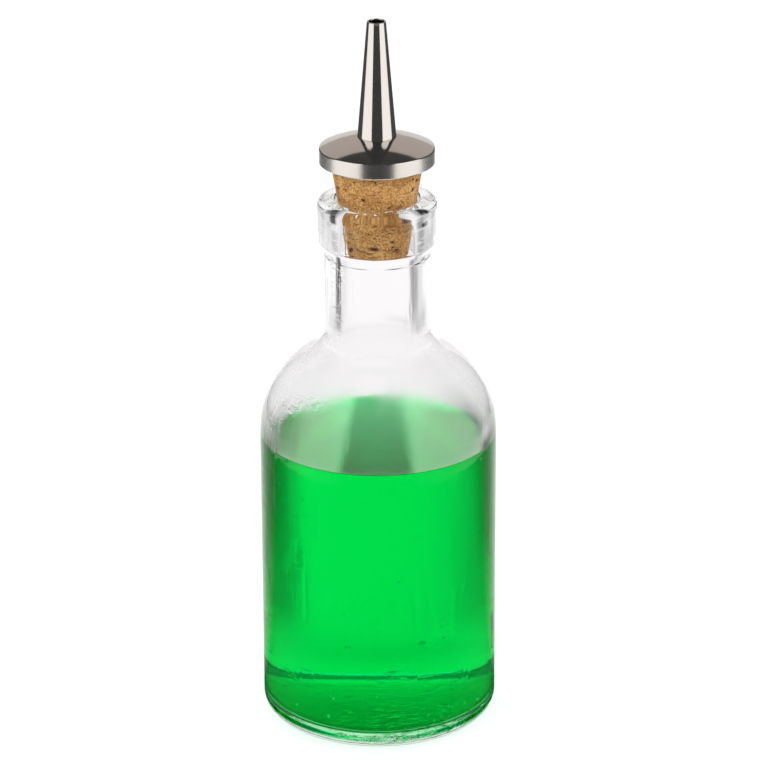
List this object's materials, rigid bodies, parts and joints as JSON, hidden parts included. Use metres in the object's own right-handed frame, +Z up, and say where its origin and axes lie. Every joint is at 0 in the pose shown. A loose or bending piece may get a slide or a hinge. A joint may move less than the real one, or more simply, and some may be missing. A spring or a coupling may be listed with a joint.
{
  "type": "dash bottle with cork pourer",
  "caption": "Round clear glass dash bottle with a green fill, a tapered bored cork, a domed steel cap and a long tapered steel pourer spout.",
  "frame": {"origin": "centre of the foot ring, on the surface that the bottle stands on", "axes": "+Z up along the bottle's axis, towards the pourer's tip; the part is round, so +X and +Y are alike"},
  "size_m": [0.06, 0.06, 0.1839],
  "materials": {
    "clear_glass": "clear, smooth blown glass",
    "green_liquid": "clear bright green liquid",
    "natural_cork": "natural cork, matt, with pores and dark specks",
    "cap_steel": "polished dome, satin band round the side",
    "spout_steel": "polished stainless steel",
    "stem_steel": "plain turned stainless steel"
  },
  "bodies": {
    "bottle": {"bottle": "clear_glass", "liquid": "green_liquid"},
    "stopper": {"cork": "natural_cork", "cap": "cap_steel", "spout": "spout_steel", "stem": "stem_steel"}
  },
  "joints": [
    {"name": "stopper_lift", "type": "slide", "parent": "bottle", "child": "stopper", "axis": [0, 0, 1], "range_m": [0, 0.04]}
  ]
}
